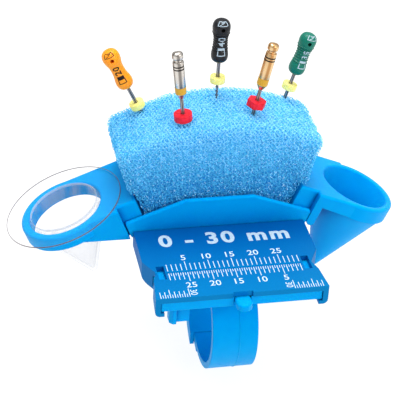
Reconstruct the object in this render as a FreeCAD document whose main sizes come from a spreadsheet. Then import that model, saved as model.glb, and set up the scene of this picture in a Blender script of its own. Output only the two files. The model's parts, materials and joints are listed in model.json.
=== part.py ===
import FreeCAD, Part
import Sketcher
import os
import re

# Finger ring with a file foam, a millimetre scale, a gel cup holder and a conical well. Units are mm.
# Origin: centre of the finger ring. +X along the ring's axis, to the well side. +Y away from the scale's
# free edge, towards the foam. +Z up, out of the face of the scale.

doc = FreeCAD.newDocument("FileRing")
sheet = doc.addObject("Spreadsheet::Sheet", "Dimensions")

SIZES = {
    # finger ring
    "bore_rad": 11.2, "band_thick": 1.4, "band_half": 4.9, "band_gap": 0.15, "lap_start": 5.0,
    "tail_end": 9.4, "seam_height": 8.8, "rail_thick": 0.9, "saddle_front": 10.0,
    # deck under the scale and foam tray behind it
    "deck_top": 14.7, "deck_thick": 2.1, "deck_half": 16.85, "deck_front": 15.6,
    "wall_front": 8.8, "wall_thick": 1.1, "wall_crown": 22.9, "crown_half": 7.5,
    "wall_tip_half": 20.5, "wall_tip": 18.0, "wall_foot_half": 19.2, "tray_back": 28.1,
    "lug_out": 14.3, "lug_in": 10.0, "lug_front": 12.2, "lug_back": 9.4, "lug_low": 6.4,
    # scale plate
    "plate_top": 16.0, "plate_thick": 1.2, "plate_half": 18.8, "plate_front": 15.9, "plate_back": 8.6,
    "plate_inner": 17.0, "plate_low": 11.5, "hook_in": 16.2, "hook_thick": 0.8, "groove_line": 7.0,
    "groove_depth": 0.35, "slot_half": 0.8, "slot_long": 4.6, "slot_at": 15.45, "waist_half": 16.75,
    "lower_half": 18.15, "lip_round": 1.1, "lip_start": 9.7,
    # latch tongue
    "latch_half": 1.65, "latch_thick": 1.4, "latch_root": 10.6, "latch_gap": 0.15,
    # wings
    "wing_out": 32.5, "wing_back": 17.6, "wing_tilt": 22.0, "left_wing_top": 17.3, "right_wing_top": 18.0,
    "arm_front": 9.0, "arm_rear": 10.0, "arm_in": 15.3, "arm_skin": 1.5, "wall_end": 11.15, "step_in": 1.5,
    "holder_rad": 8.2, "holder_outer": 10.1, "holder_thick": 3.4, "arm_root_low": 9.55,
    "cup_rad": 8.1, "cup_wall": 0.5, "flange_rad": 13.2, "flange_thick": 0.5, "cup_deep": 18.0,
    "cup_tip": 0.9, "well_rad": 8.0, "well_outer": 9.3, "well_shift": 0.5, "collar": 3.6,
    "well_deep": 21.5, "well_tip": 1.0,
    "leg_width": 1.9, "leg_low": 7.4,
    # foam
    "foam_front": 10.2, "foam_back": 27.9, "foam_low": 14.85, "foam_arc": 45.0, "foam_crown": 40.2,
    "foam_low_half": 14.5, "foam_waist": 23.85, "foam_waist_half": 18.15, "foam_ledge_half": 19.7,
    "foam_mid_half": 24.8, "foam_hole": 0.55,
    # files
    "shaft_rad": 0.4, "bore_clear": 0.05, "stop_rad": 1.62, "stop_thick": 1.3, "handle_long": 9.9,
    "handle_rad": 1.8, "waist_rad": 1.5, "shank_rad": 1.175, "rotary_stop": 1.95, "rotary_thick": 1.5,
}

for row, (name, value) in enumerate(SIZES.items(), start=1):
    sheet.set(f"A{row}", name)
    sheet.set(f"B{row}", str(value))
    sheet.setAlias(f"B{row}", name)
doc.recompute()


def expr(text):
    """Point every dimension name in the text at the spreadsheet."""
    return re.sub(r"[a-z]+(_[a-z]+)*", lambda m: "Dimensions." + m[0] if m[0] in SIZES else m[0], str(text))


def bind(item, **values):
    for name, text in values.items():
        item.setExpression(name, expr(text))
    return item


def place(item, at=("0", "0", "0"), axis=None, angle="0"):
    """Put an item at a point, turned by an angle about one axis."""
    if axis:
        item.Placement = FreeCAD.Placement(FreeCAD.Vector(), FreeCAD.Rotation(FreeCAD.Vector(*axis), 1))
        item.setExpression("Placement.Rotation.Angle", expr(angle))
    for letter, text in zip("xyz", at):
        item.setExpression(f"Placement.Base.{letter}", expr(text))
    return item


def box(low, high, **where):
    """A box from its low corner to its high corner."""
    item = doc.addObject("Part::Box", "Block")
    sizes = [f"({b})-({a})" for a, b in zip(low, high)]
    bind(item, Length=sizes[0], Width=sizes[1], Height=sizes[2])
    return place(item, low, **where)


def rod(radius, height, at=("0", "0", "0"), **where):
    item = bind(doc.addObject("Part::Cylinder", "Rod"), Radius=radius, Height=height)
    return place(item, at, **where)


def cone(low_radius, high_radius, height, at=("0", "0", "0"), **where):
    item = doc.addObject("Part::Cone", "Taper")
    bind(item, Radius1=low_radius, Radius2=high_radius, Height=height)
    return place(item, at, **where)


def fuse(*items):
    item = doc.addObject("Part::MultiFuse", "Union")
    item.Shapes = list(items)
    return item


def common(first, second):
    item = doc.addObject("Part::MultiCommon", "Overlap")
    item.Shapes = [first, second]
    return item


def cut(base, *tools):
    item = doc.addObject("Part::Cut", "Difference")
    item.Base = base
    item.Tool = tools[0] if len(tools) == 1 else fuse(*tools)
    return item


def rounded(base, radius, pick):
    """Round the edges whose bounding boxes satisfy 'pick'."""
    doc.recompute()
    item = doc.addObject("Part::Fillet", "Rounding")
    item.Base = base
    picked = [index for index, edge in enumerate(base.Shape.Edges, start=1) if pick(edge.BoundBox)]
    if not picked:
        raise RuntimeError(f"no edge to round on {base.Name}")
    item.Edges = [(index, radius, radius) for index in picked]
    return item


def outline(body, plane, points, offset="0"):
    """A closed outline of straight sides whose corners follow the dimensions."""
    sketch = body.newObject("Sketcher::SketchObject", "Outline")
    support = [part for part in body.Origin.OriginFeatures if part.Role == plane][0]
    sketch.AttachmentSupport = [(support, "")]
    sketch.MapMode = "FlatFace"
    sketch.setExpression("AttachmentOffset.Base.z", expr(offset))
    count = len(points)
    ring = FreeCAD.Vector(10, 0, 0)
    turn = FreeCAD.Rotation(FreeCAD.Vector(0, 0, 1), 360 / count)
    corners = [ring]
    for _ in range(count):
        corners.append(turn.multVec(corners[-1]))
    for start, end in zip(corners, corners[1:]):
        sketch.addGeometry(Part.LineSegment(start, end))
    for side in range(count):
        sketch.addConstraint(Sketcher.Constraint("Coincident", side, 2, (side + 1) % count, 1))
    for side, (across, up) in enumerate(points):
        for kind, value, text in (("DistanceX", corners[side].x, across), ("DistanceY", corners[side].y, up)):
            index = sketch.addConstraint(Sketcher.Constraint(kind, -1, 1, side, 1, value))
            sketch.setExpression(f"Constraints[{index}]", expr(text))
    return sketch


def prism(plane, points, thick, middle="0"):
    """An outline padded evenly to both sides of a plane that lies at 'middle' along its normal."""
    body = doc.addObject("PartDesign::Body", "Prism")
    sketch = outline(body, plane, points, middle)
    pad = body.newObject("PartDesign::Pad", "Pad")
    pad.Profile = sketch
    pad.Midplane = True
    pad.setExpression("Length", expr(thick))
    body.Tip = pad
    return body


def turned(points):
    """A half outline of radius and height pairs, revolved about Z."""
    body = doc.addObject("PartDesign::Body", "Turning")
    sketch = outline(body, "XZ_Plane", points)
    turn = body.newObject("PartDesign::Revolution", "Revolution")
    turn.Profile = sketch
    turn.ReferenceAxis = (sketch, ["V_Axis"])
    turn.Angle = 360
    body.Tip = turn
    return body


def mirrored(points):
    """The right half of an outline, from its top centre down, and its mirror image."""
    return points + [(f"-({across})", up) for across, up in reversed(points)]


nodes = []


def node(name, item, at=("0", "0", "0"), axis=None, angle="0"):
    """Name a finished piece and set it in the assembly."""
    if not any(path.startswith("Placement") for path, _ in item.ExpressionEngine):
        place(item, at, axis, angle)
    item.Label = name
    nodes.append(item)
    return item


ALONG_X = {"axis": (0, 1, 0), "angle": "90"}


def hoop(inner, outer, half):
    """A plain ring about the X axis."""
    shell = rod(outer, f"2*({half})", (f"-({half})", "0", "0"), **ALONG_X)
    hollow = rod(inner, f"2*({half})+2", (f"-({half})-1", "0", "0"), **ALONG_X)
    return cut(shell, hollow)


# Main tray: deck, foam tray walls, finger saddle and the fixed half of the finger ring.
band_outer = "bore_rad+band_thick"
tail_inner = "bore_rad+band_thick+band_gap"
tail_outer = "bore_rad+2*band_thick+band_gap"
deck = box(("-deck_half", "-deck_front", "deck_top-deck_thick"), ("deck_half", "tray_back+wall_thick", "deck_top"))
latch_slot = box(("-latch_half-latch_gap", "-deck_front-1", "deck_top-deck_thick-1"),
                 ("latch_half+latch_gap", "-latch_root+latch_gap", "deck_top+1"))
wall_points = mirrored([("crown_half", "wall_crown"), ("wall_tip_half", "wall_tip"),
                        ("wall_foot_half", "deck_top"), ("deck_half", "deck_top-deck_thick")])
front_wall = prism("XZ_Plane", wall_points, "wall_thick", "-wall_front-wall_thick/2")
back_wall = prism("XZ_Plane", wall_points, "wall_thick", "-tray_back-wall_thick/2")
saddle = box(("-band_half", "-saddle_front", "seam_height+0.1"), ("band_half", band_outer, "deck_top-0.5"))
stub = common(hoop("bore_rad", band_outer, "band_half"),
              box(("-band_half", "lap_start+0.1", "-2*bore_rad"), ("band_half", "2*bore_rad", "seam_height+1")))
rail_zone = box(("-band_half-rail_thick", "lap_start+0.1", "-2*bore_rad"),
                ("band_half+rail_thick", "2*bore_rad", "seam_height+3"))
rails = cut(common(hoop("bore_rad", tail_outer, "band_half+rail_thick"), rail_zone),
            box(("-band_half", "-2*bore_rad", "-2*bore_rad"), ("band_half", "2*bore_rad", "2*bore_rad")))
lug = prism("XY_Plane", [("-lug_in", "-lug_back"), ("-lug_in", "-lug_front+0.8"), ("1.6-lug_out", "-lug_front+0.8"),
                         ("1.4-lug_out", "-lug_front"), ("0.7-lug_out", "-lug_front"),
                         ("-lug_out", "-lug_front+0.7"), ("-lug_out", "-lug_back")],
            "deck_top-lug_low-0.5", "(deck_top-0.5+lug_low)/2")
finger_space = rod("bore_rad", "40", ("-20", "0", "0"), **ALONG_X)
ratchet = []
for step in range(8):
    lean = 28 + 5 * step
    spot = [f"({band_outer})*sin({lean})", f"-({band_outer})*cos({lean})"]
    ratchet.append(rod("0.25", "2*band_half", ["-band_half"] + spot, **ALONG_X))
body = cut(fuse(cut(deck, latch_slot), front_wall, back_wall, saddle, stub, rails, lug), finger_space, *ratchet)
node("main_tray", rounded(body, 0.5, lambda edge: edge.ZMin > 17.9 and edge.ZLength < 6))

# Finger band: the free half of the ring, lapping outside the fixed half.
strap = common(hoop("bore_rad", band_outer, "band_half"),
               box(("-band_half", "-2*bore_rad", "-2*bore_rad"), ("band_half", "lap_start", "seam_height")))
tail_half = "band_half-band_gap"
tail = common(hoop(tail_inner, tail_outer, tail_half),
              box((f"-({tail_half})", "lap_start-2", "-2*bore_rad"), (tail_half, "2*bore_rad", "-tail_end")))
joggle = common(hoop("bore_rad+0.7*band_thick", "bore_rad+1.5*band_thick", tail_half),
                box((f"-({tail_half})", "lap_start-2", "-2*bore_rad"), (tail_half, "lap_start", "0")))
node("finger_band", fuse(strap, tail, joggle))

# Latch tongue in the deck's front edge, with a rounded thumb tab.
tab = rod("latch_half", "latch_thick", ("0", "-deck_front-1.5", "deck_top-latch_thick"))
tongue = box(("-latch_half", "-deck_front-1.5", "deck_top-latch_thick"), ("latch_half", "-latch_root", "deck_top"))
node("scale_latch", rounded(fuse(tab, tongue), 0.5, lambda edge: edge.ZMin > 14.69))

# Scale plate: a channel that wraps the deck's side edges, waisted where the groove crosses it.
plan = mirrored([("plate_half", "plate_back"), ("plate_half", "-groove_line+4.3"),
                 ("waist_half", "-groove_line+0.4"), ("waist_half", "-groove_line-0.4"),
                 ("waist_half+0.75", "-groove_line-2.6"), ("lower_half", "-plate_front")])
channel = prism("XY_Plane", plan, "plate_top-plate_low", "(plate_top+plate_low)/2")
inside = box(("-plate_inner", "-plate_front-1", "plate_low+hook_thick"),
             ("plate_inner", "plate_back+1", "plate_top-plate_thick"))
mouth = box(("-hook_in", "-plate_front-1", "plate_low-1"), ("hook_in", "plate_back+1", "plate_low+hook_thick+0.5"))
groove = prism("YZ_Plane", [("-groove_line-groove_depth", "plate_top+0.001"),
                            ("-groove_line", "plate_top-groove_depth"),
                            ("-groove_line+groove_depth", "plate_top+0.001")], "2*plate_half+2")
recess = box(("-latch_half-0.4", "-plate_front-1", "plate_top-plate_thick-1"),
             ("latch_half+0.4", "-plate_front+0.5", "plate_top+1"))
slots = [box((f"{side}*slot_at-slot_half", "-groove_line-slot_long/2", "plate_top-plate_thick-1"),
             (f"{side}*slot_at+slot_half", "-groove_line+slot_long/2", "plate_top+1")) for side in (-1, 1)]
plate = cut(channel, inside, mouth, recess, *slots)
hooks = rounded(plate, 1.1, lambda edge: edge.ZMax < 11.6 and max(-edge.XMin, edge.XMax) > 18.5
                and edge.YLength > 4)
lip_corners = []
for side in (-1, 1):
    middle = f"{side}*(lower_half-lip_round/2)"
    corner = box((f"{middle}-lip_round/2", "-plate_front-1", "plate_low-1"),
                 (f"{middle}+lip_round/2", "-lip_start", "plate_low+lip_round"))
    bead = rod("lip_round", "30", (f"{side}*(lower_half-lip_round)", "5", "plate_low+lip_round"), axis=(1, 0, 0),
               angle="90")
    lip_corners.append(cut(corner, bead))
node("scale_plate", cut(hooks, groove, *lip_corners))

# Arms. Local frame: centre of the round opening on the arm's top face, Z normal to that face.
arm_root = "wall_end-0.15"


def arm_shell(side, skirt):
    """The flat arm between the tray and the round opening. side is +1 where the tray lies at local +X."""
    def span(low, high):
        return (low, high) if side > 0 else (f"-({high})", f"-({low})")
    near, far = span("0", "arm_in")
    top = box((near, "-arm_front", "-arm_skin"), (far, "arm_rear", "0"))
    near, far = span(arm_root, "arm_in+1")
    step = box((near, "-arm_front-1", "-holder_thick-20"), (far, "-arm_front+step_in", "1"))
    near, far = span("arm_in-arm_skin", "arm_in")
    end = box((near, "-arm_front+step_in", "-arm_root_low+1.3"), (far, "arm_rear", "0"))
    near, far = span(f"{arm_root}-step_in", "arm_in")
    inner = box((near, "-arm_front+step_in", "-arm_root_low+1.6"), (far, "-arm_front+2*step_in", "0"))
    near, far = span("0", "arm_in")
    rear = box((near, "arm_rear-arm_skin", "-holder_thick"), (far, "arm_rear", "0"))
    return cut(fuse(top, skirt, end, inner, rear), step)


def on_top(edge):
    """True for an edge that lies in the arm's top face."""
    return edge.ZMin > -0.01 and edge.ZMax < 0.01


def skirt_prism(points):
    return prism("XZ_Plane", points, "arm_skin", "arm_front-arm_skin/2")


left_skirt = skirt_prism([("0", "0"), ("arm_in", "0"), ("arm_in", "-arm_root_low"), (arm_root, "-holder_thick-4.5"),
                          ("0", "-holder_thick")])
left_ring = rod("holder_outer", "holder_thick", ("0", "0", "-holder_thick"))
left_hole = rod("holder_rad", "holder_thick+20", ("0", "0", "-holder_thick-19"))
node("cup_holder_arm", rounded(cut(fuse(arm_shell(1, left_skirt), left_ring), left_hole), 0.6, on_top),
     ("-wing_out", "wing_back", "left_wing_top"), (0, -1, 0), "wing_tilt")

right_skirt = skirt_prism([("0", "0"), ("-arm_in", "0"), ("-arm_in", "-leg_low"), (f"-({arm_root})", "-leg_low"),
                           (f"-({arm_root})+0.6", "-leg_low-0.5"), (f"-({arm_root})+leg_width-0.6", "-leg_low-0.5"),
                           (f"-({arm_root})+leg_width", "-leg_low"), (f"-({arm_root})+leg_width", "-3"),
                           ("0", "-collar")])
collar = rod("well_outer", "collar", ("well_shift", "0", "-collar"))
funnel = cone("well_tip", "well_outer-0.3", "well_deep-collar+0.2", ("well_shift", "0", "-well_deep"))
well_hollow = cone("0.2", "well_rad", "well_deep-0.8", ("well_shift", "0", "-well_deep+1.2"))
well_mouth = rod("well_rad", "2", ("well_shift", "0", "0.39"))
well = cut(fuse(arm_shell(-1, right_skirt), collar, funnel), well_hollow, well_mouth)
node("well_arm", rounded(well, 0.6, on_top), ("wing_out", "wing_back", "right_wing_top"), (0, 1, 0), "wing_tilt")

# Gel cup: flange resting on the ring of the left arm, conical cup hanging through it.
flange = rod("flange_rad", "flange_thick", ("0", "0", "0.05"))
throat = rod("cup_rad", "holder_thick+0.1", ("0", "0", "-holder_thick"))
cup_cone = cone("cup_tip", "cup_rad", "cup_deep-holder_thick", ("0", "0", "-cup_deep"))
hollow_throat = rod("cup_rad-cup_wall", "holder_thick+3", ("0", "0", "-holder_thick"))
hollow_cone = cone("cup_tip-0.5", "cup_rad-cup_wall", "cup_deep-holder_thick-cup_wall",
                   ("0", "0", "-cup_deep+cup_wall"))
node("gel_cup", cut(fuse(flange, throat, cup_cone), hollow_throat, hollow_cone),
     ("-wing_out", "wing_back", "left_wing_top"), (0, -1, 0), "wing_tilt")

# Files: where each one meets the foam, how far it leans in the XZ plane and what it carries.
FILES = {
    "file_a": dict(at=(-15.35, 24.0, 37.1), lean=-26.7, handle=6.5, stop=0.8, tip=17.6, point=0.10),
    "file_b": dict(at=(1.0, 22.8, 39.5), lean=0.8, handle=9.1, stop=4.1, tip=15.1, point=0.20),
    "file_c": dict(at=(17.5, 26.0, 37.7), lean=16.2, handle=5.4, stop=1.5, tip=18.1, point=0.175),
    "rotary_a": dict(at=(-7.65, 14.3, 38.6), lean=-7.1, neck=6.5, stop=1.2, tip=17.6, point=0.125),
    "rotary_b": dict(at=(7.4, 15.6, 38.6), lean=11.6, neck=6.9, stop=2.7, tip=18.0, point=0.125),
}

# Foam block: an arched block whose leaning ends rest on the arms, pierced where the files stand in it.
flared = mirrored([("foam_mid_half", "foam_crown"), ("foam_ledge_half", "foam_waist+0.3"),
                   ("foam_waist_half", "foam_waist"), ("foam_low_half", "foam_low")])
foam_blank = prism("XZ_Plane", flared, "foam_back-foam_front", "-(foam_front+foam_back)/2")
arch = rod("foam_arc", "60", ("1", "50", "foam_crown-foam_arc"), axis=(1, 0, 0), angle="90")


def on_file(item, spec):
    """Carry an item from a file's own frame, where Z runs up its shaft, into the assembly."""
    lean = spec["lean"]
    axis = (0, 1, 0) if lean >= 0 else (0, -1, 0)
    return place(item, [str(value) for value in spec["at"]], axis if lean else None, str(abs(lean)))


punches = []
for spec in FILES.values():
    punch = rod("foam_hole", "60", ("0", "0", f"-{spec['tip']}-0.6"))
    punches.append(on_file(fuse(punch, rod("foam_hole", "1")), spec))
node("foam_block", cut(common(foam_blank, arch), *punches))


def blade(spec, top):
    """A round shaft over a tapered cutting length that ends in a short point."""
    tip = spec["tip"]
    cutting = cone(f"{spec['point']}", "shaft_rad-0.03", "16", ("0", "0", f"-{tip}+0.5"))
    point = cone("0.03", f"{spec['point']}", "0.5", ("0", "0", f"-{tip}"))
    shaft = rod("shaft_rad", f"{top}+{tip}-16.5", ("0", "0", f"16.5-{tip}"))
    return fuse(shaft, cutting, point)


def washer(radius, thick, height):
    """A stop: a rubber disc on the shaft."""
    return cut(rod(radius, thick, ("0", "0", f"{height}")),
               rod("shaft_rad+bore_clear", f"{thick}+2", ("0", "0", f"{height}-1")))


def grip(base, ribs):
    """A moulded finger grip, thicker at both ends, with a cross hole near its top."""
    profile = [("0", "0"), ("1.1", "0"), ("1.1", "0.4"), ("handle_rad", "1"), ("handle_rad", "2.5"),
               ("waist_rad", "3.4"), ("waist_rad", "handle_long-3.6"), ("handle_rad", "handle_long-2.8"),
               ("handle_rad", "handle_long-0.6"), ("handle_rad-0.6", "handle_long"), ("0", "handle_long")]
    handle = turned([(across, f"{base}+{up}") for across, up in profile])
    handle = rounded(handle, 0.3, lambda edge: edge.ZLength < 0.01 and edge.XLength > 2.9)
    rings = []
    for step in range(ribs):
        ring = bind(doc.addObject("Part::Torus", "Rib"), Radius1="waist_rad-0.1", Radius2="0.22")
        rings.append(place(ring, ("0", "0", f"{base}+3.3+{0.6 * step:.1f}")))
    hole = rod("0.42", "6", ("0", "3", f"{base}+handle_long-1.8"), axis=(1, 0, 0), angle="90")
    socket = rod("shaft_rad", "3", ("0", "0", f"{base}-1"))
    return cut(fuse(handle, *rings) if rings else handle, hole, socket)


for name in ("file_a", "file_b", "file_c"):
    spec = FILES[name]
    on_file(node(f"{name}_blade", blade(spec, spec["handle"] + 2)), spec)
    on_file(node(f"{name}_stop", washer("stop_rad", "stop_thick", spec["stop"])), spec)
    on_file(node(f"{name}_handle", grip(spec["handle"], 0 if name == "file_a" else 6)), spec)

for name, sides in (("rotary_a", 0), ("rotary_b", 6)):
    spec = FILES[name]
    neck = spec["neck"]
    on_file(node(f"{name}_blade", blade(spec, neck + 1)), spec)
    if sides:
        disc = doc.addObject("Part::Prism", "Disc")
        disc.Polygon = sides
        bind(disc, Circumradius="rotary_stop+0.15", Height="rotary_thick")
        place(disc, ("0", "0", f"{spec['stop']}"))
        bored = cut(disc, rod("shaft_rad+bore_clear", "rotary_thick+2", ("0", "0", f"{spec['stop'] - 1}")))
    else:
        bored = washer("rotary_stop", "rotary_thick", spec["stop"])
    on_file(node(f"{name}_stop", bored), spec)
    shank = turned([("0", f"{neck}"), ("0.5", f"{neck}"), ("shank_rad-0.1", f"{neck}+1"),
                    ("shank_rad", f"{neck}+1.2"), ("shank_rad", f"{neck}+8.75"), ("0.8", f"{neck}+8.9"),
                    ("0.8", f"{neck}+9.25"), ("shank_rad", f"{neck}+9.4"), ("shank_rad", f"{neck}+10.65"),
                    ("shank_rad-0.25", f"{neck}+10.9"), ("0", f"{neck}+10.9")])
    seat = cut(rod("shank_rad+1", "1.5", ("0", "0", f"{neck}+1.2")),
               rod("shank_rad-0.15", "2", ("0", "0", f"{neck}+1")))
    flat = box(("-2", "0.45", f"{neck}+9.35"), ("2", "2", f"{neck}+12"))
    pilot = rod("shaft_rad", "3", ("0", "0", f"{neck}-2"))
    on_file(node(f"{name}_shank", cut(shank, seat, flat, pilot)), spec)
    band = cut(rod("shank_rad+0.03", "1.5", ("0", "0", f"{neck}+1.2")),
               rod("shank_rad-0.15", "3", ("0", "0", f"{neck}+1")))
    on_file(node(f"{name}_colour_band", band), spec)

doc.recompute()

for item in doc.Objects:
    if "Invalid" in item.State or "Error" in item.State:
        raise RuntimeError(f"{item.Name} {item.Label} did not rebuild: {item.State}")
os.makedirs("parts", exist_ok=True)
for item in nodes:
    shape = item.Shape
    if shape.isNull() or not shape.isValid():
        raise RuntimeError(f"{item.Label} is not a valid shape")
    if len(shape.Solids) != 1:
        raise RuntimeError(f"{item.Label} has {len(shape.Solids)} solids")
    shape.exportStep(f"parts/{item.Label}.step")
    box_size = shape.BoundBox
    print(f"{item.Label:20s} {shape.Volume:9.1f} mm3  {box_size}")
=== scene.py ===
"""Looks of the finger-worn file organiser: plastic tray, clear cup, printed scale, open-cell foam and files.

Lengths are in millimetres and are turned into metres by MM. The floor, the lights and the camera are placed
in metres. +X runs along the finger ring's axis, +Y towards the foam and +Z up.
"""

import json
import math

import bmesh
import bpy
import numpy as np
from mathutils import Matrix, Vector


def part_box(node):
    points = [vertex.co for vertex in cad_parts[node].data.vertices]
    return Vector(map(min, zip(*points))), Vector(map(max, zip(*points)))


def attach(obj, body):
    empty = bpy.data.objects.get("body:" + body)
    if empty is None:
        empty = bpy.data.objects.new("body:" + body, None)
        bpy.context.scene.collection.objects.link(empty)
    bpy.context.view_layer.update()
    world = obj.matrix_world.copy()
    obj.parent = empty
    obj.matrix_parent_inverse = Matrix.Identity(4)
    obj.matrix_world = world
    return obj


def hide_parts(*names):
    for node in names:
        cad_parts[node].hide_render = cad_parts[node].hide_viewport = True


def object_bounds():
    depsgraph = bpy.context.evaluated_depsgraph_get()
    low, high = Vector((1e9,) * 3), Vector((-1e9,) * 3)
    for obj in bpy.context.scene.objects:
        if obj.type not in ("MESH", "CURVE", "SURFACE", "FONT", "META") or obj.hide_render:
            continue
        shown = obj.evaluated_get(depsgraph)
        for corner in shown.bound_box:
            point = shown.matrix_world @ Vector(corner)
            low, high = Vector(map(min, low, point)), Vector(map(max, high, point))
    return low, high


MM = 0.001
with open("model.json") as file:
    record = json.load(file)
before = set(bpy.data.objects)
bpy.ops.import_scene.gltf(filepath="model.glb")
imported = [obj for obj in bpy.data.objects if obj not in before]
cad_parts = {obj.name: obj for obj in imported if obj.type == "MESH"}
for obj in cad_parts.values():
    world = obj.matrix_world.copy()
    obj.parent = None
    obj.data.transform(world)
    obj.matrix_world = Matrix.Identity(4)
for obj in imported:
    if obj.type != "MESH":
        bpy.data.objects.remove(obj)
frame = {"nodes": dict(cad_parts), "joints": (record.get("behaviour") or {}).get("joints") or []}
cad_low, cad_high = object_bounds()
cad_nodes = frame["nodes"]


def joint_axis(name):
    """Direction of a joint's axis."""
    return Vector(next(joint["axis"] for joint in frame["joints"] if joint["name"] == name))


# ---------------------------------------------------------------- shader building blocks


def linear(red, green, blue):
    """A display colour, 0 to 255, as the linear colour that Blender's sockets take."""
    def channel(value):
        value /= 255
        return value / 12.92 if value <= 0.04045 else ((value + 0.055) / 1.055) ** 2.4
    return (channel(red), channel(green), channel(blue), 1.0)


def shader_node(tree, kind, inputs=(), **settings):
    """A shader node. Its inputs are values, or sockets to link from."""
    made = tree.nodes.new(kind)
    for key, value in settings.items():
        setattr(made, key, value)
    for key, value in dict(inputs).items():
        if isinstance(value, bpy.types.NodeSocket):
            tree.links.new(value, made.inputs[key])
        else:
            made.inputs[key].default_value = value
    return made


def new_material(name, **values):
    """A material with its node tree, and a Principled shader whose inputs are set by name."""
    made = bpy.data.materials.new(name)
    made.use_nodes = True
    shader = made.node_tree.nodes["Principled BSDF"]
    for key, value in values.items():
        shader.inputs[key.replace("_", " ")].default_value = value
    return made, made.node_tree, shader


def maths(tree, operation, *values):
    """The result of a Math node on numbers or sockets."""
    return shader_node(tree, "ShaderNodeMath", dict(enumerate(values)), operation=operation).outputs[0]


def place_in_metres(tree):
    """The shaded point in the row frame, which stays with the piece when it moves."""
    return tree.nodes.new("ShaderNodeTexCoord").outputs["Object"]


def split(tree, vector):
    """The X, Y and Z of a vector socket, by name."""
    return shader_node(tree, "ShaderNodeSeparateXYZ", {"Vector": vector}).outputs


def noise(tree, grain, detail=2.0, stretch=(1, 1, 1)):
    """Noise whose lumps are about 'grain' millimetres across, more where 'stretch' is below 1."""
    scaled = shader_node(tree, "ShaderNodeVectorMath", {0: place_in_metres(tree), 1: stretch},
                         operation="MULTIPLY")
    inputs = {"Vector": scaled.outputs[0], "Scale": 1 / (grain * MM), "Detail": detail}
    return shader_node(tree, "ShaderNodeTexNoise", inputs).outputs["Fac"]


def remap(tree, value, low, high, to_low, to_high):
    """The value carried from one range to another, held at its ends."""
    inputs = {"Value": value, "From Min": low, "From Max": high, "To Min": to_low, "To Max": to_high}
    return shader_node(tree, "ShaderNodeMapRange", inputs).outputs["Result"]


def mix_colours(tree, factor, first, second):
    """The first colour where the factor is 0 and the second where it is 1."""
    mixed = shader_node(tree, "ShaderNodeMix", data_type="RGBA")
    colour_sockets = (mixed.inputs[0], mixed.inputs[6], mixed.inputs[7])
    for socket, value in zip(colour_sockets, (factor, first, second)):
        if isinstance(value, bpy.types.NodeSocket):
            tree.links.new(value, socket)
        else:
            socket.default_value = value
    return mixed.outputs[2]


def wave_round(tree, direction):
    """A sine wave with five crests round the Z axis, by the bearing of a direction."""
    parts = split(tree, direction)
    bearing = maths(tree, "ARCTAN2", parts["Y"], parts["X"])
    return maths(tree, "SINE", maths(tree, "MULTIPLY", bearing, 5.0))


def bump(tree, shader, height, depth, soft_edge=0.0):
    """Bump of a depth in millimetres. soft_edge rounds the look of sharp edges by that radius."""
    inputs = {"Height": height, "Distance": depth * MM, "Strength": 1.0}
    if soft_edge:
        edge = shader_node(tree, "ShaderNodeBevel", {"Radius": soft_edge * MM}, samples=6)
        inputs["Normal"] = edge.outputs["Normal"]
    tree.links.new(shader_node(tree, "ShaderNodeBump", inputs).outputs["Normal"], shader.inputs["Normal"])


# ---------------------------------------------------------------- materials

PAINTED_SHADE_REACH = 10.0
PORE_SIZE = 0.62


def moulded_plastic(name, lit, deep, gloss=0.36, gleam=0.3, tint=(1, 1, 1, 1), scatter=0.0, soft_edge=0.0):
    """Injection-moulded plastic: a satin skin with faint mottling. Enclosed corners take the deep colour as
    painted shade.

    scatter is how far light travels inside, and soft_edge the radius that sharp edges seem to have."""
    made, tree, shader = new_material(name, Specular_IOR_Level=gleam, Specular_Tint=tint)
    # Painted shade: ambient occlusion mixes in the deep colour where corners and recesses close in.
    painted_shade_openness = shader_node(tree, "ShaderNodeAmbientOcclusion", {"Distance": PAINTED_SHADE_REACH * MM}, samples=6,
                           only_local=True).outputs["AO"]
    painted_shade_openness = remap(tree, painted_shade_openness, 0.35, 0.85, 0, 1)
    mottle = remap(tree, noise(tree, 2.5), 0.3, 0.7, 0.94, 1.0)
    factor = maths(tree, "MULTIPLY", painted_shade_openness, mottle)
    tree.links.new(mix_colours(tree, factor, deep, lit), shader.inputs["Base Color"])
    roughness = remap(tree, noise(tree, 0.6), 0.3, 0.7, gloss - 0.05, gloss + 0.08)
    tree.links.new(roughness, shader.inputs["Roughness"])
    if scatter:
        shader.inputs["Subsurface Weight"].default_value = 0.3
        shader.inputs["Subsurface Radius"].default_value = lit[:3]
        shader.inputs["Subsurface Scale"].default_value = scatter * MM
    bump(tree, shader, noise(tree, 0.16), 0.006, soft_edge)
    return made


def anodised_aluminium(name):
    """Blue anodised plate: a matt etched skin, with painted light that makes it paler towards the free edge.
    """
    made, tree, shader = new_material(name, Metallic=0.35, Specular_IOR_Level=0.4,
                                      Specular_Tint=linear(60, 200, 255))
    # Painted light: the plate is lighter towards its free edge.
    painted_light_towards_edge = remap(tree, split(tree, place_in_metres(tree))["Y"], 6 * MM, -14 * MM, 0, 0.9)
    patches = remap(tree, noise(tree, 6.0), 0.3, 0.7, 0, 0.1)
    factor = maths(tree, "ADD", painted_light_towards_edge, patches)
    colour = mix_colours(tree, factor, linear(0, 92, 162), linear(0, 118, 180))
    tree.links.new(colour, shader.inputs["Base Color"])
    tree.links.new(remap(tree, noise(tree, 0.25), 0.3, 0.7, 0.42, 0.56), shader.inputs["Roughness"])
    bump(tree, shader, noise(tree, 0.09, stretch=(1, 0.25, 1)), 0.004, 0.12)
    return made


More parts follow.
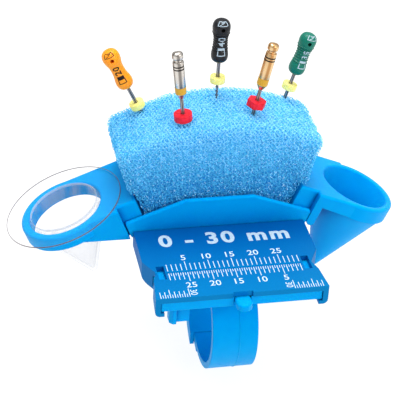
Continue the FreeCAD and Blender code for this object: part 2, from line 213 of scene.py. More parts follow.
def turned_metal(name, colour, dark, gloss):
    """Turned metal with fine tool rings round it, and broad light and dark bands of painted reflection set by
    the way its surface faces.
    """
    made, tree, shader = new_material(name, Metallic=1.0)
    rings = noise(tree, 0.12, stretch=(0.05, 0.05, 1))
    # Painted reflection: light and dark bands by the bearing of the surface normal, with the dark colour
    # between them.
    wave = wave_round(tree, shader_node(tree, "ShaderNodeNewGeometry").outputs["Normal"])
    painted_reflection_streaks = remap(tree, wave, -0.7, 0.5, 0, 1)
    sheen_and_rings = maths(tree, "MULTIPLY", painted_reflection_streaks, remap(tree, rings, 0.3, 0.6, 0.75, 1))
    tree.links.new(mix_colours(tree, sheen_and_rings, dark, colour), shader.inputs["Base Color"])
    tree.links.new(remap(tree, rings, 0.3, 0.7, gloss - 0.06, gloss + 0.1), shader.inputs["Roughness"])
    bump(tree, shader, rings, 0.004, 0.06)
    return made


def silicone(name, colour, deep):
    """Soft stop rubber: matt, slightly cloudy, with light passing through its edges."""
    made, tree, shader = new_material(name, Subsurface_Weight=0.4, Subsurface_Scale=0.5 * MM,
                                      Subsurface_Radius=colour[:3], Specular_IOR_Level=0.3)
    cloud = remap(tree, noise(tree, 0.9), 0.3, 0.7, 0, 1)
    tree.links.new(mix_colours(tree, cloud, deep, colour), shader.inputs["Base Color"])
    tree.links.new(remap(tree, noise(tree, 0.2), 0.3, 0.7, 0.45, 0.6), shader.inputs["Roughness"])
    bump(tree, shader, noise(tree, 0.12), 0.01, 0.18)
    return made


def clear_film(name, centre, axis, radius, throat):
    """Thin clear plastic of a flanged cup, with a grey line at its cut rim and a painted white highlight at
    its throat.

    Heights run up the cup's axis from its flange. The wall carries faint painted reflections, and the cone
    under it is milky."""
    made, tree, shader = new_material(name, Roughness=0.05, IOR=1.45, Specular_IOR_Level=0.3)
    offset = shader_node(tree, "ShaderNodeVectorMath", {0: place_in_metres(tree), 1: centre},
                         operation="SUBTRACT").outputs[0]
    height = shader_node(tree, "ShaderNodeVectorMath", {0: offset, 1: axis},
                         operation="DOT_PRODUCT").outputs["Value"]
    away = shader_node(tree, "ShaderNodeVectorMath", {0: offset}, operation="LENGTH").outputs["Value"]

    def ramp(value, start, end):
        """0 at the start and 1 at the end, both in millimetres, and held beyond them."""
        return remap(tree, value, start * MM, end * MM, 0, 1)

    rim = maths(tree, "MULTIPLY", ramp(away, radius - 0.16, radius - 0.12), ramp(height, -0.24, -0.2))
    # Painted highlight: a white line along the throat.
    painted_throat_highlight = maths(tree, "MULTIPLY", ramp(away, throat + 0.12, throat + 0.05), ramp(height, -0.7, -0.5))
    slope = shader_node(tree, "ShaderNodeLayerWeight", {"Blend": 0.28}).outputs["Facing"]
    # Painted reflections: faint upright marks on the cup's wall.
    painted_reflection_streaks = remap(tree, noise(tree, 5.0, stretch=(1, 1, 0.15)), 0.42, 0.58, 0.03, 0.2)
    wall = maths(tree, "MULTIPLY", ramp(height, -0.5, -0.7), ramp(height, -3.6, -3.4))
    wall = maths(tree, "MULTIPLY", wall, painted_reflection_streaks)
    cone = maths(tree, "MULTIPLY", ramp(height, -3.6, -4.4), remap(tree, slope, 0.3, 1.0, 0.1, 0.6))
    solid = remap(tree, slope, 0.7, 1.0, 0.01, 0.2)
    for line, weight in ((rim, 0.85), (painted_throat_highlight, 0.5), (wall, 1.0), (cone, 1.0)):
        solid = maths(tree, "MAXIMUM", solid, maths(tree, "MULTIPLY", line, weight))
    colour = mix_colours(tree, rim, linear(206, 208, 214), linear(92, 80, 88))
    tree.links.new(colour, shader.inputs["Base Color"])
    tree.links.new(solid, shader.inputs["Alpha"])
    bump(tree, shader, noise(tree, 1.6), 0.012)
    return made


def foam_strut(name, colour, painted_glow):
    """A strand of the open-cell net. Its emission is painted light, standing for light that the net passes
    on.
    """
    return new_material(name, Base_Color=colour, Roughness=0.45, Specular_IOR_Level=0.12,
                        Emission_Color=colour, Emission_Strength=painted_glow)[0]


def foam_inside(name):
    """Deeper foam: pores with painted shade between paler strands, and painted shade that makes it darker
    towards the foot and lighter higher up.
    """
    made, tree, shader = new_material(name, Roughness=0.8, Specular_IOR_Level=0.1)
    place = place_in_metres(tree)
    pores = shader_node(tree, "ShaderNodeTexVoronoi", {"Vector": place, "Scale": 1 / (PORE_SIZE * MM)},
                        feature="DISTANCE_TO_EDGE").outputs["Distance"]
    strands = remap(tree, pores, 0.05, 0.2, 1, 0)
    # Painted light and shade: darker low down, lighter higher up.
    lift = remap(tree, split(tree, place)["Z"], 18 * MM, 34 * MM, 0, 1)
    painted_pore_shade = mix_colours(tree, lift, linear(6, 116, 206), linear(66, 180, 244))
    strand = mix_colours(tree, lift, linear(48, 166, 232), linear(116, 212, 255))
    tree.links.new(mix_colours(tree, strands, painted_pore_shade, strand), shader.inputs["Base Color"])
    bump(tree, shader, strands, 0.25)
    return made


def print_ink(name, colour):
    """Screen-printed ink with a slightly uneven coat."""
    made, tree, shader = new_material(name, Roughness=0.55, Specular_IOR_Level=0.2)
    worn = tuple(0.8 * part for part in colour[:3]) + (1.0,)
    coat = remap(tree, noise(tree, 0.35), 0.25, 0.6, 0, 1)
    tree.links.new(mix_colours(tree, coat, worn, colour), shader.inputs["Base Color"])
    return made


def cup_flange():
    """Centre of the cup's top face, its axis, and the radii of its flange and throat in millimetres."""
    axis = np.array(joint_axis("cup_lift"))
    points = np.array([vertex.co for vertex in cad_nodes["gel_cup"].data.vertices])
    heights = points @ axis
    top = points[heights > heights.max() - 0.1 * MM]
    centre = (top.min(0) + top.max(0)) / 2
    away = np.linalg.norm(top - centre, axis=1)
    return Vector(centre), Vector(axis), float(away.max()) / MM, float(away.min()) / MM


# For moulded plastics the second colour is painted shade in enclosed corners; for metals it is the dark of
# the painted reflection bands.
MATERIALS = {
    "blue_plastic": moulded_plastic("blue_plastic_look", linear(0, 155, 226), linear(0, 62, 156), gloss=0.44,
                                    gleam=0.12, tint=linear(0, 200, 255), scatter=0.8, soft_edge=0.28),
    "anodised_blue": anodised_aluminium("anodised_look"),
    "clear_plastic": clear_film("clear_cup_look", *cup_flange()),
    "orange_plastic": moulded_plastic("orange_grip_look", linear(250, 156, 22), linear(232, 112, 4),
                                      scatter=0.8, soft_edge=0.1),
    "black_plastic": moulded_plastic("black_grip_look", linear(18, 20, 26), linear(8, 8, 12), soft_edge=0.1),
    "green_plastic": moulded_plastic("green_grip_look", linear(0, 112, 94), linear(0, 70, 62), soft_edge=0.1),
    "cream_rubber": silicone("yellow_stop_look", linear(255, 249, 160), linear(252, 238, 134)),
    "red_rubber": silicone("red_stop_look", linear(238, 24, 52), linear(206, 8, 36)),
    "yellow_plastic": moulded_plastic("band_look", linear(206, 158, 44), linear(160, 112, 20), gloss=0.3),
    "silver_metal": turned_metal("nickel_look", linear(222, 216, 208), linear(140, 134, 128), gloss=0.28),
    "gold_metal": turned_metal("gilt_look", linear(240, 206, 156), linear(190, 140, 88), gloss=0.28),
    "blue_foam": foam_inside("foam_core_look"),
    "steel": turned_metal("wire_look", linear(172, 170, 170), linear(88, 86, 88), gloss=0.42),
}
# Lit and shaded copies of the strand material: painted shade low down, painted light higher up, and painted
# glints.
STRUTS = [
    foam_strut("foam_strut_shaded_look", linear(38, 150, 212), 0.04),
    foam_strut("foam_strut_look", linear(80, 188, 230), 0.17),
    foam_strut("foam_strut_lit_look", linear(134, 206, 242), 0.32),
    foam_strut("foam_strut_glint_look", linear(184, 228, 250), 0.1),
]
WHITE_INK = print_ink("white_ink_look", linear(208, 226, 238))
PALE_INK = print_ink("pale_ink_look", linear(182, 202, 216))
BLACK_INK = print_ink("black_ink_look", linear(26, 20, 18))

for cad_object in cad_nodes.values():
    for material_slot in cad_object.material_slots:
        material_slot.material = MATERIALS[material_slot.material.name.split(".")[0]]


# ---------------------------------------------------------------- mesh building blocks


def piece_from(name, points, faces, material, body, smooth=False):
    """A new mesh piece, from points in metres in the row frame, which rides on a body."""
    mesh = bpy.data.meshes.new(name)
    mesh.from_pydata([tuple(point) for point in points], [], [tuple(face) for face in faces])
    mesh.materials.append(material)
    if smooth:
        mesh.shade_smooth()
    made = bpy.data.objects.new(name, mesh)
    bpy.context.scene.collection.objects.link(made)
    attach(made, body)
    return made


def smooth_outline(corners, steps=6):
    """Points along a smooth line through the corners."""
    corners = np.array(corners, float)
    before, after = 2 * corners[0] - corners[1], 2 * corners[-1] - corners[-2]
    track = np.vstack([before, corners, after])
    made = []
    for p0, p1, p2, p3 in zip(track, track[1:], track[2:], track[3:]):
        for t in np.linspace(0, 1, steps, endpoint=False):
            made.append(0.5 * (2 * p1 + (p2 - p0) * t + (2 * p0 - 5 * p1 + 4 * p2 - p3) * t ** 2
                               + (3 * p1 - p0 - 3 * p2 + p3) * t ** 3))
    return np.array(made + [corners[-1]])


def tube_faces(rings, around, capped=True):
    """Faces of a tube of rings with 'around' points each, counted ring by ring from its low end."""
    count = rings * around
    faces = [list(range(around))[::-1], list(range(count - around, count))] if capped else []
    for row in range(0, count - around, around):
        for step in range(around):
            after = (step + 1) % around
            faces.append([row + step, row + after, row + around + after, row + around + step])
    return faces


def circle_points(matrix, rings, around):
    """Points on circles of (height, radius) round a file's own Z."""
    angles = [math.tau * step / around for step in range(around)]
    return [matrix @ (MM * Vector((radius * math.cos(angle), radius * math.sin(angle), height)))
            for height, radius in rings for angle in angles]


def turned_piece(name, matrix, outline, material, body, cutter):
    """A closed turned piece from (height, radius) points up an axis, less what the cutter takes."""
    around = 48
    rings = [(height, max(radius, 0.01)) for height, radius in outline]
    points = circle_points(matrix, rings, around)
    made = piece_from(name, points, tube_faces(len(rings), around), material, body, smooth=True)
    carve(made, cutter)
    return made


def box_cutter(matrix, low, high):
    """A box in a file's own frame, to carve with."""
    corners = [(x, y, z) for z in (low[2], high[2]) for y in (low[1], high[1]) for x in (low[0], high[0])]
    faces = [(0, 2, 3, 1), (4, 5, 7, 6), (0, 1, 5, 4), (1, 3, 7, 5), (3, 2, 6, 7), (2, 0, 4, 6)]
    mesh = bpy.data.meshes.new("cutter")
    mesh.from_pydata([tuple(matrix @ (MM * Vector(corner))) for corner in corners], [], faces)
    return mesh


def rod_cutter(matrix, radius, height, half, around=24):
    """A rod along a file's own Y at a height, to carve with."""
    angles = [math.tau * step / around for step in range(around)]
    points = [matrix @ (MM * Vector((radius * math.cos(angle), y, height + radius * math.sin(angle))))
              for y in (-half, half) for angle in angles]
    faces = [list(range(around)), list(range(around, 2 * around))[::-1]]
    faces += [[around + step, around + (step + 1) % around, (step + 1) % around, step]
              for step in range(around)]
    mesh = bpy.data.meshes.new("cutter")
    mesh.from_pydata([tuple(point) for point in points], [], faces)
    return mesh


def carve(piece, cutter):
    """Take the cutter's volume away from a piece."""
    tool = bpy.data.objects.new("cutter", cutter)
    bpy.context.scene.collection.objects.link(tool)
    step = piece.modifiers.new("carve", "BOOLEAN")
    step.object = tool
    step.operation = "DIFFERENCE"
    step.solver = "EXACT"
    bpy.context.view_layer.update()
    shape = bpy.data.meshes.new_from_object(piece.evaluated_get(bpy.context.evaluated_depsgraph_get()))
    piece.modifiers.clear()
    piece.data = shape
    shape.shade_smooth()
    shape.set_sharp_from_angle(angle=math.radians(35))
    bpy.data.objects.remove(tool)


# ---------------------------------------------------------------- foam


foam_low, foam_high = (np.array(corner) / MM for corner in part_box("foam_block"))
FOAM_ARC = 45.0  # radius of the arched top
FOAM_ARC_MIDDLE = 1.0
FOAM_FOOT_HALF = 14.5
FOAM_WAIST = 23.85  # height at which the foam's ends spread out over the arms
FOAM_WAIST_HALF = 18.15
FOAM_LEDGE = 0.3
FOAM_LEDGE_HALF = 19.7
FOAM_CROWN_HALF = 24.8
FOAM_CORNER = 1.8
FOOT_LEANS_LEFT = 0.2  # keeps the foot clear of the right arm, which is the higher one
NET_CELL = 0.92
NET_SHAKE = 0.16  # how far a node may move, as a share of a cell
NET_DEPTH = 0.85
NET_TURN = Matrix.Rotation(0.6, 3, "X") @ Matrix.Rotation(0.45, 3, "Y") @ Matrix.Rotation(0.8, 3, "Z")
STRUT_RADIUS = 0.055
SLOPE_PROBE = 0.05


def foam_half_width(height):
    """Half the foam's width at a height, in millimetres."""
    return np.interp(height, [foam_low[2], FOAM_WAIST, FOAM_WAIST + FOAM_LEDGE, foam_high[2]],
                     [FOAM_FOOT_HALF, FOAM_WAIST_HALF, FOAM_LEDGE_HALF, FOAM_CROWN_HALF])


def foam_arch(x):
    """Height of the arched top at an x."""
    return foam_high[2] - FOAM_ARC + np.sqrt(FOAM_ARC ** 2 - (x - FOAM_ARC_MIDDLE) ** 2)


def foam_depth(points):
    """How deep points lie under the foam's rounded surface. Outside is negative.

    Over the waist, where nothing stands beside the foam, the surface is a little fuller and uneven."""
    x, y, z = points.T
    arch = FOAM_ARC - np.hypot(x - FOAM_ARC_MIDDLE, z - foam_high[2] + FOAM_ARC)
    centre = np.interp(z, [FOAM_WAIST, FOAM_WAIST + FOAM_LEDGE], [-FOOT_LEANS_LEFT, 0])
    sides = 0.95 * (foam_half_width(z) - np.abs(x - centre))
    walls = np.stack([sides, y - foam_low[1], foam_high[1] - y, arch, z - foam_low[2]])
    corner = np.interp(z, [FOAM_WAIST, FOAM_WAIST + 4], [0.4, FOAM_CORNER])
    inside = np.maximum(corner - walls, 0)
    rounded = corner - np.sqrt((inside ** 2).sum(0))
    depth = np.where(walls.min(0) < corner, rounded, walls.min(0))
    uneven = 0.08 * (np.sin(0.9 * x + 0.5 * z) + np.sin(1.1 * y - 0.7 * x) + np.sin(0.6 * z + 1.3 * y))
    free = np.interp(z, [FOAM_WAIST - 2, FOAM_WAIST + 1], [0, 1])
    return depth - 0.1 + free * (0.15 - uneven)


def foam_core():
    """The inside of the foam, which its material darkens with painted shade: a closed skin that lies a net's
    depth under the surface.

    A box's points are moved along the depth's slope until they lie at that depth."""
    skin = bmesh.new()
    bmesh.ops.create_cube(skin, size=2)
    bmesh.ops.subdivide_edges(skin, edges=skin.edges[:], cuts=27, use_grid_fill=True)
    points = np.array([vertex.co for vertex in skin.verts])
    x, y, z = points.T
    inset = 1.2
    across = x * (FOAM_LEDGE_HALF + 1 - inset)
    height = foam_low[2] + inset + (z + 1) / 2 * (foam_arch(across) - foam_low[2] - 2 * inset)
    across = x * (foam_half_width(height) - inset)
    deep = foam_low[1] + inset + (y + 1) / 2 * (foam_high[1] - foam_low[1] - 2 * inset)
    shape = np.stack([across, deep, height], 1)
    probes = SLOPE_PROBE * np.eye(3)
    for _ in range(14):
        gap = foam_depth(shape) - NET_DEPTH * 0.85
        slope = np.stack([foam_depth(shape + probe) - foam_depth(shape - probe) for probe in probes], 1)
        slope /= 2 * SLOPE_PROBE
        shape -= 0.7 * slope * (gap / np.maximum((slope ** 2).sum(1), 0.3))[:, None]
    faces = [[vertex.index for vertex in face.verts] for face in skin.faces]
    skin.free()
    core = piece_from("foam_core", shape * MM, faces, MATERIALS["blue_foam"], "foam",
                      smooth=True)
    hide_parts("foam_block")
    return core


def foam_net():
    """Nodes and strands of the net near the surface: a packing of truncated octahedra, turned and jittered.

    Its corners are grid points with one odd coordinate, one that 4 divides and one that only 2 divides."""
    quarter = NET_CELL / 4
    turn = np.array(NET_TURN)
    middle = (foam_low + foam_high) / 2
    reach_out = np.abs(turn.T) @ ((foam_high - foam_low) / 2)
    cubes = np.ceil(reach_out / NET_CELL).astype(int) + 1
    unit = np.stack(np.meshgrid(*[np.arange(4)] * 3, indexing="ij"), -1).reshape(-1, 3)
    unit = unit[((unit % 2 == 1).sum(1) == 1) & ((unit == 0).sum(1) == 1) & ((unit == 2).sum(1) == 1)]
    counts = [np.arange(2 * count) for count in cubes]
    grid = np.stack(np.meshgrid(*counts, indexing="ij"), -1).reshape(-1, 3)
    cells = (4 * grid[:, None] + unit[None]).reshape(-1, 3)
    shake = np.random.default_rng(7).uniform(-NET_SHAKE, NET_SHAKE, cells.shape) * NET_CELL
    spots = ((cells - 4 * cubes) * quarter + shake) @ turn.T + middle
    depth = foam_depth(spots)
    near = (depth > 0) & (depth < NET_DEPTH)
    size = 8 * cubes
    number = np.full(size, -1, np.int32)
    number[tuple(cells[near].T)] = np.arange(near.sum())
    cells, spots = cells[near], spots[near]
    strands = []
    for step in ((1, 1, 0), (1, -1, 0), (1, 0, 1), (1, 0, -1), (0, 1, 1), (0, 1, -1)):
        other = cells + step
        inside = ((other >= 0) & (other < size)).all(1)
        mate = np.full(len(cells), -1)
        mate[inside] = number[tuple(other[inside].T)]
        strands.append(np.stack([np.flatnonzero(mate >= 0), mate[mate >= 0]], 1))
    return spots, np.concatenate(strands)


def strand_prisms(starts, ends):
    """Three-sided struts between pairs of points, as points and faces."""
    along = ends - starts
    along /= np.linalg.norm(along, axis=1)[:, None]
    helper = np.where(np.abs(along[:, 2:]) < 0.8, [[0, 0, 1]], [[1, 0, 0]])
    side = np.cross(along, helper)
    side /= np.linalg.norm(side, axis=1)[:, None]
    other = np.cross(along, side)
    rings = []
    for end in (starts, ends):
        for turn in range(3):
            angle = math.tau * turn / 3
            rings.append(end + STRUT_RADIUS * (math.cos(angle) * side + math.sin(angle) * other))
    points = np.stack(rings, 1).reshape(-1, 3)
    first = 6 * np.arange(len(starts))[:, None]
    sides = [first + np.array([turn, (turn + 1) % 3, 3 + (turn + 1) % 3, 3 + turn]) for turn in range(3)]
    return points, np.concatenate(sides)


def build_foam():
    """The core and its net, in three pieces from left to right. Paler strands, as painted light, are commoner
    higher up, and a few are painted glints.
    """
    core = foam_core()
    spots, strands = foam_net()
    order = np.argsort(spots[strands[:, 0], 0])
    for number, chosen in enumerate(np.array_split(strands[order], 3), 1):
        points, faces = strand_prisms(spots[chosen[:, 0]], spots[chosen[:, 1]])
        net = piece_from(f"foam_net_{number}", points * MM, faces, STRUTS[0], "foam")
        for other in STRUTS[1:]:
            net.data.materials.append(other)
        # Painted light and shade: strands are paler higher up and darker low down, with a few painted glints.
        lift = np.interp(spots[chosen[:, 0], 2], [20, 37], [0, 1])
        luck = np.random.default_rng(number).random(len(chosen))
        shade = (luck > 0.8 - 1.2 * lift).astype(np.int32) + (luck > 0.92 - 0.65 * lift ** 3) + (luck > 0.98)
        net.data.polygons.foreach_set("material_index", np.tile(shade, 3).astype(np.int32))


# ---------------------------------------------------------------- printed marks


def flat_text(text, tall, heavy=0.0, spacing=1.0):
    """A text as a flat mesh, centred on the origin and 'tall' millimetres high."""
    curve = bpy.data.curves.new("text", "FONT")
    curve.body = text
    curve.size = 1.0
    curve.offset = heavy
    curve.space_character = spacing
    curve.resolution_u = 4
    holder = bpy.data.objects.new("text", curve)
    mesh = bpy.data.meshes.new_from_object(holder)
    points = np.array([vertex.co for vertex in mesh.vertices])
    faces = [list(polygon.vertices) for polygon in mesh.polygons]
    bpy.data.objects.remove(holder)
    bpy.data.meshes.remove(mesh)
    points -= (points.min(0) + points.max(0)) / 2
    return points[:, :2] * tall / np.ptp(points[:, 1]), faces


def flat_bar(left, right, low, high):
    """A rectangle, as points and faces."""
    return np.array([[left, low], [right, low], [right, high], [left, high]], float), [[0, 1, 2, 3]]


def flat_frame(left, right, low, high, line):
    """A rectangle's outline, 'line' wide."""
    return joined([flat_bar(left, right, low, low + line), flat_bar(left, right, high - line, high),
                   flat_bar(left, left + line, low + line, high - line),
                   flat_bar(right - line, right, low + line, high - line)])


def moved(shape, across=0.0, up=0.0, turn=0.0):
    """A flat shape turned by 'turn' degrees and then moved."""
    points, faces = shape
    c, s = math.cos(math.radians(turn)), math.sin(math.radians(turn))
    return points @ np.array([[c, s], [-s, c]]) + [across, up], faces


def joined(shapes):
    """Several flat shapes as one."""
    points, faces = [], []
    for shape_points, shape_faces in shapes:
        start = sum(len(part) for part in points)
        points.append(shape_points)
        faces += [[index + start for index in face] for face in shape_faces]
    return np.concatenate(points), faces


INK_LIFT = 0.012
SCALE_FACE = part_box("scale_plate")[1].z / MM + INK_LIFT
GROOVE = -7.0  # the groove's middle
PLATE_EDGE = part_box("scale_plate")[0].y / MM
TICK = 0.16
NUMERAL = 1.75


def scale_print(name, shapes, ink=WHITE_INK):
    """Flat shapes printed on the scale plate's face."""
    points, faces = joined(shapes)
    solid = np.column_stack([points, np.full(len(points), SCALE_FACE)])
    return piece_from(name, solid * MM, faces, ink, "scale")


def ticks(spots, start, short, tall, tall_every, half=None):
    """Tick marks at (count, x) spots, from a start line, taller where the count is a multiple.

    half is where the shorter marks between them end, if there are any."""
    made = []
    for count, x in spots:
        end = tall if count % tall_every == 0 else short
        made.append(flat_bar(x - TICK / 2, x + TICK / 2, *sorted((start, end))))
        if half is not None and (count, x) != spots[-1]:
            middle = (x + spots[spots.index((count, x)) + 1][1]) / 2
            made.append(flat_bar(middle - 0.4 * TICK, middle + 0.4 * TICK, *sorted((start, half))))
    return made


def build_scale_print():
    """A millimetre scale both ways along the groove, two short scales at the free edge, and a title."""
    reading = [(count, count - 15) for count in range(1, 30)]
    upper = ticks(reading, GROOVE + 0.4, GROOVE + 2.7, GROOVE + 3.4, 5)
    scale_print("scale_ticks_upper", upper)
    lower = ticks(reading, GROOVE - 0.4, GROOVE - 2.8, GROOVE - 3.5, 5, half=GROOVE - 1.3)
    scale_print("scale_ticks_lower", lower)
    numerals = []
    for count in range(5, 30, 5):
        numerals.append(moved(flat_text(str(count), NUMERAL, 0.005), count - 15, GROOVE + 4.8))
        numerals.append(moved(flat_text(str(30 - count), NUMERAL, 0.005), count - 15, GROOVE - 4.8))
    scale_print("scale_numerals", numerals)
    for side, word in ((-1, "left"), (1, "right")):
        spots = [(count, side * (11 + count)) for count in range(7)]
        number = moved(flat_text("30", 1.4), side * 10.0, PLATE_EDGE + 1.5, -90)
        marks = ticks(spots, PLATE_EDGE + 0.15, PLATE_EDGE + 2.2, PLATE_EDGE + 2.9, 4, PLATE_EDGE + 1.2)
        scale_print(f"scale_depth_marks_{word}", marks + [number])
    title = moved(flat_text("0 - 30 mm", 4.4, 0.035, 1.2), 0.1, 4.2)
    scale_print("scale_range_title", [title], PALE_INK)


# ---------------------------------------------------------------- files


def file_frame(name):
    """Matrix from a file's own frame to the row frame. Z runs up the shaft and 0 is at the blade's tip."""
    up = joint_axis(f"{name}_pull").normalized()
    back = Vector((0, 1, 0))
    side = back.cross(up)
    points = np.array([vertex.co for vertex in cad_nodes[f"{name}_blade"].data.vertices])
    middles = []
    for direction in (side, back):
        spread = points @ np.array(direction)
        middles.append((spread.min() + spread.max()) / 2)
    origin = middles[0] * side + middles[1] * back + float((points @ np.array(up)).min()) * up
    turn = Matrix((side, back, up)).transposed().to_4x4()
    return Matrix.Translation(origin) @ turn


def reach(node_name, matrix):
    """Lowest and highest point of a CAD node along a file's shaft, in millimetres over the blade's tip."""
    inverse = matrix.inverted()
    heights = [(inverse @ vertex.co).z for vertex in cad_nodes[node_name].data.vertices]
    return min(heights) / MM, max(heights) / MM


SHAFT_RADIUS = 0.4
FLUTE_STEP = 0.03


def fluted_blade(name, matrix, tip_radius, lobes, pitch, groove, cutting):
    """A twisted blade: a lobed section, one turn to a 'pitch', that tapers to the tip, and a round shaft."""
    top = reach(f"{name}_blade", matrix)[1]
    around = 6 * lobes
    heights = np.concatenate([np.arange(0, cutting, pitch / 14), np.linspace(cutting + 0.4, top, 4)])
    points = []
    for height in heights:
        radius = tip_radius + (SHAFT_RADIUS - FLUTE_STEP - tip_radius) * min(height / cutting, 1)
        radius *= min(1, 0.3 + height / 0.5)
        depth = groove
        if height > cutting:
            radius, depth = SHAFT_RADIUS, 0
        for step in range(around):
            angle = math.tau * step / around
            lobe = 0.5 - 0.5 * math.cos(lobes * (angle - math.tau * height / pitch))
            out = radius * (1 - depth * lobe)
            points.append(matrix @ (MM * Vector((out * math.cos(angle), out * math.sin(angle), height))))
    faces = tube_faces(len(heights), around)
    blade = piece_from(f"{name}_fluted_blade", points, faces, MATERIALS["steel"], name, smooth=True)
    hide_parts(f"{name}_blade")


def wrapped_print(name, body, grip, matrix, shape, facing, middle, ink, lift=0.0):
    """Print laid round a grip: 'across' runs round it and 'up' along it. facing is in degrees from +X to +Y.

    lift tilts the rays that find the grip's surface, so that a mark can sit on its dome."""
    points, faces = shape
    sheet = bmesh.new()
    made = [sheet.verts.new((x, y, 0)) for x, y in points]
    for face in faces:
        sheet.faces.new([made[index] for index in face])
    for direction, half in zip(((1, 0, 0), (0, 1, 0)), np.abs(points).max(0)):
        for spot in np.arange(-half, half, CUT_SPACING):
            every = sheet.verts[:] + sheet.edges[:] + sheet.faces[:]
            bmesh.ops.bisect_plane(sheet, geom=every, plane_co=Vector(direction) * spot, plane_no=direction)
    world = []
    for vertex in sheet.verts:
        angle = math.radians(facing) + vertex.co.x / GRIP_RADIUS
        out = Vector((math.cos(angle), math.sin(angle), math.tan(math.radians(lift)))).normalized()
        rest = Vector((0, 0, (middle + vertex.co.y) * MM))
        start = matrix @ (rest + 6 * MM * out)
        outward = (matrix.to_3x3() @ out).normalized()
        hit, spot = grip.ray_cast(start, -outward)[:2]
        world.append((spot if hit else matrix @ (rest + GRIP_RADIUS * MM * out)) + PRINT_LIFT * MM * outward)
    sheet.verts.index_update()
    cut_faces = [[vertex.index for vertex in face.verts] for face in sheet.faces]
    sheet.free()
    return piece_from(name, world, cut_faces, ink, body)


CUT_SPACING = 0.2
PRINT_LIFT = 0.025
GRIP_RADIUS = 1.6
GRIP_OUTLINE = [(0, 0), (0, 0.8), (0.12, 1.2), (0.6, 1.66), (1.4, 1.84), (2.3, 1.78), (3.3, 1.56),
                (4.6, 1.45), (5.9, 1.52), (6.9, 1.78), (7.8, 1.92), (8.6, 1.88), (9.3, 1.58), (9.7, 1.1),
                (9.88, 0.5), (9.9, 0)]
RIBS = (2.9, 6.9)  # where the ribs start and end over the grip's foot
RIB_SPACING = 0.62
TETHER_HOLE = 0.42
TETHER_HEIGHT = 8.1
GRIPS = {
    "file_a": dict(size="20", ink=BLACK_INK, slot="orange_plastic", facing=-96, rib=0.0, cutting=16.0),
    "file_b": dict(size="40", ink=PALE_INK, slot="black_plastic", facing=-92, rib=0.2, cutting=19.4),
    "file_c": dict(size="35", ink=PALE_INK, slot="green_plastic", facing=-80, rib=0.2, cutting=16.0),
}


def grip_piece(name, matrix, base, grip):
    """A moulded finger grip: waisted and domed, ribbed round the waist, with a cross hole for a tether."""
    outline = smooth_outline([(base + height, radius) for height, radius in GRIP_OUTLINE], 9)
    for point in outline:
        height = point[0] - base
        if grip["rib"] and RIBS[0] < height < RIBS[1]:
            wave = math.cos(math.tau * (height - RIBS[0]) / RIB_SPACING - math.pi)
            point[1] += grip["rib"] * (max(0, wave) - 0.3)
    hole = rod_cutter(matrix, TETHER_HOLE, base + TETHER_HEIGHT, 4)
    made = turned_piece(f"{name}_grip", matrix, outline, MATERIALS[grip["slot"]], name, hole)
    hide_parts(f"{name}_handle")
    return made


def build_hand_files():
    """The three hand files: blade, grip, the size mark on the grip's side and a mark on its dome."""
    dome_mark = joined([flat_frame(-1.1, 1.1, -0.85, 0.85, 0.17),
                        moved(flat_bar(-0.85, 0.85, -0.08, 0.08), turn=40),
                        moved(flat_bar(-0.4, 0.6, -0.1, 0.1), 0, 0.4)])
    for name, grip in GRIPS.items():
        matrix = file_frame(name)
        base, top = reach(f"{name}_handle", matrix)
        fluted_blade(name, matrix, 0.15, lobes=2, pitch=2.0, groove=0.6, cutting=grip["cutting"])
        handle = grip_piece(name, matrix, base, grip)
        fill_low = 0.05 if grip["ink"] is BLACK_INK else 0.4
        digits = moved(flat_text(grip["size"], 1.6, 0.02, 1.1), 0, 2.3, 90)
        box_mark = flat_frame(-0.8, 0.8, -0.9, 0.9, 0.18)
        label = joined([box_mark, flat_bar(-0.62, 0.62, fill_low, 0.72), digits])
        wrapped_print(f"{name}_size_mark", name, handle, matrix, label, grip["facing"], base + 2.9,
                      grip["ink"])
        wrapped_print(f"{name}_dome_mark", name, handle, matrix, dome_mark, grip["facing"], top - 2.1,
                      grip["ink"], lift=48)


def ring_line(name, body, matrix, radius, height, width):
    """A dark line round a shank."""
    around = 48
    rings = [(height - width / 2, radius), (height + width / 2, radius)]
    points = circle_points(matrix, rings, around)
    faces = tube_faces(len(rings), around, capped=False)
    piece_from(name, points, faces, BLACK_INK, body, smooth=True)


SHANK_RADIUS = 1.175
BAND_SEAT = SHANK_RADIUS - 0.16
SHANK_OUTLINE = [(0, 0), (0, 0.5), (0.15, 0.62), (0.95, 1.06), (1.12, 1.14), (1.2, 1.14),
                 (1.2, BAND_SEAT), (2.7, BAND_SEAT), (2.7, 1.14), (2.78, SHANK_RADIUS), (8.6, SHANK_RADIUS),
                 (8.75, 1.1), (8.85, 0.84), (8.95, 0.8), (9.2, 0.8), (9.3, 0.86), (9.43, 1.1),
                 (9.55, SHANK_RADIUS), (10.25, SHANK_RADIUS), (10.6, 1.08), (10.8, 0.85), (10.89, 0.45),
                 (10.9, 0)]
LATCH_FLAT = 9.35  # where the flat starts over the shank's foot
DEPTH_RINGS = (7.1, 7.75)
ROTARY = {"rotary_a": "silver_metal", "rotary_b": "gold_metal"}


def shank_piece(name, matrix, neck, slot_name):
    """A latch-type shank: a turned rod with a colour band's seat, a latch groove and a flat on its head."""
    outline = [(neck + height, radius) for height, radius in SHANK_OUTLINE]
    flat = box_cutter(matrix, (-2, 0.45, neck + LATCH_FLAT), (2, 2, neck + 12))
    made = turned_piece(f"{name}_turned_shank", matrix, outline, MATERIALS[slot_name], name, flat)
    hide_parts(f"{name}_shank")


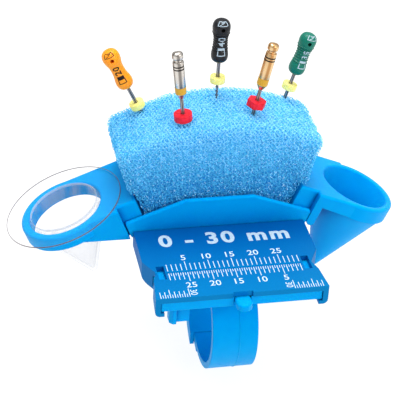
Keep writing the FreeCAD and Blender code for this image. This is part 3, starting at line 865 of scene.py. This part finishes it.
def build_rotary_files():
    """The two engine files: blade, turned shank and the dark rings round it."""
    for name, metal in ROTARY.items():
        matrix = file_frame(name)
        neck = reach(f"{name}_shank", matrix)[0]
        fluted_blade(name, matrix, 0.11, lobes=2, pitch=5.0, groove=0.4, cutting=16.0)
        shank_piece(name, matrix, neck, metal)
        for number, height in enumerate(DEPTH_RINGS, 1):
            ring_line(f"{name}_depth_ring_{number}", name, matrix, SHANK_RADIUS + 0.015, neck + height, 0.3)


# ---------------------------------------------------------------- finger band


BAND_RADIUS = 12.6  # outside of the strap
BAND_START = (8.6, -9.02)  # Z and Y of the strap's root
BAND_END = 4.9  # Y of the line's other end, under the ring's axis


def build_parting_line():
    """The mould's parting line round the outside of the strap."""
    first = math.atan2(*BAND_START)
    last = math.atan2(-math.sqrt(BAND_RADIUS ** 2 - BAND_END ** 2), BAND_END)
    angles = np.linspace(first - math.tau, last, 60)[::-1]
    profile = [(0.8, 0.0), (0.9, 0.1), (1.02, 0.1), (1.12, 0.0)]
    points = []
    for angle in angles:
        for x, rise in profile:
            out = BAND_RADIUS + rise
            points.append((x * MM, out * math.cos(angle) * MM, out * math.sin(angle) * MM))
    faces = [[4 * row + column, 4 * row + column + 1, 4 * row + column + 5, 4 * row + column + 4]
             for row in range(len(angles) - 1) for column in range(3)]
    piece_from("band_parting_line", points, faces, MATERIALS["blue_plastic"], "band",
               smooth=True)


build_foam()
build_scale_print()
build_hand_files()
build_rotary_files()
build_parting_line()


# ---------------------------------------------------------------- stage, light and camera


def build_floor():
    """A plain pale floor that glows a little, so that it stays white under a soft light."""
    half = 8
    level = cad_low.z - 0.0002
    corners = [(-half, -half, level), (half, -half, level), (half, half, level), (-half, half, level)]
    mesh = bpy.data.meshes.new("floor")
    mesh.from_pydata(corners, [], [(0, 1, 2, 3)])
    made, tree, shader = new_material("floor_look", Roughness=0.9, Specular_IOR_Level=0.1,
                                      Emission_Color=linear(255, 255, 255), Emission_Strength=0.9)
    clouds = remap(tree, noise(tree, 30), 0.3, 0.7, 0, 1)
    tint = mix_colours(tree, clouds, linear(116, 116, 116), linear(122, 122, 122))
    tree.links.new(tint, shader.inputs["Base Color"])
    mesh.materials.append(made)
    floor = bpy.data.objects.new("floor", mesh)
    bpy.context.scene.collection.objects.link(floor)


def soft_light(name, place, size, power):
    """A square softbox that faces the object's middle."""
    lamp = bpy.data.lights.new(name, "AREA")
    lamp.size = size
    lamp.energy = power
    made = bpy.data.objects.new(name, lamp)
    made.location = place
    middle = (cad_low + cad_high) / 2
    made.rotation_euler = (middle - Vector(place)).to_track_quat("-Z", "Y").to_euler()
    bpy.context.scene.collection.objects.link(made)


def build_world():
    """White surroundings with a few darker upright bands, which give the metal its contrast."""
    world = bpy.data.worlds.new("studio")
    bpy.context.scene.world = world
    world.use_nodes = True
    tree = world.node_tree
    way = tree.nodes.new("ShaderNodeTexCoord").outputs["Generated"]
    low_down = remap(tree, split(tree, way)["Z"], 0.2, 0.55, 1, 0)
    bands = remap(tree, wave_round(tree, way), 0.3, 0.8, 0, 1)
    dark = maths(tree, "MULTIPLY", bands, low_down)
    colour = mix_colours(tree, dark, linear(255, 255, 255), linear(168, 170, 174))
    background = tree.nodes["Background"]
    tree.links.new(colour, background.inputs["Color"])
    background.inputs["Strength"].default_value = 0.68


def build_camera():
    """The photograph's viewpoint: a long lens, from the front left and above."""
    lens = bpy.data.cameras.new("camera")
    lens.sensor_width = 36
    lens.lens = 142.3
    lens.clip_start = 0.01
    right, up = Vector((0.9797, -0.1945, 0.0482)), Vector((0.0672, 0.5455, 0.8354))
    made = bpy.data.objects.new("camera", lens)
    made.matrix_world = Matrix.Translation((-0.0682, -0.26628, 0.20758)) @ Matrix(
        (right, up, right.cross(up))).transposed().to_4x4()
    bpy.context.scene.collection.objects.link(made)
    bpy.context.scene.camera = made


build_floor()
build_world()
soft_light("key", (-0.03, 0.08, 0.6), 0.45, 3.6)
soft_light("front_fill", (0.35, -0.55, 0.35), 0.4, 2.5)
build_camera()
bpy.context.scene.view_settings.view_transform = "Standard"
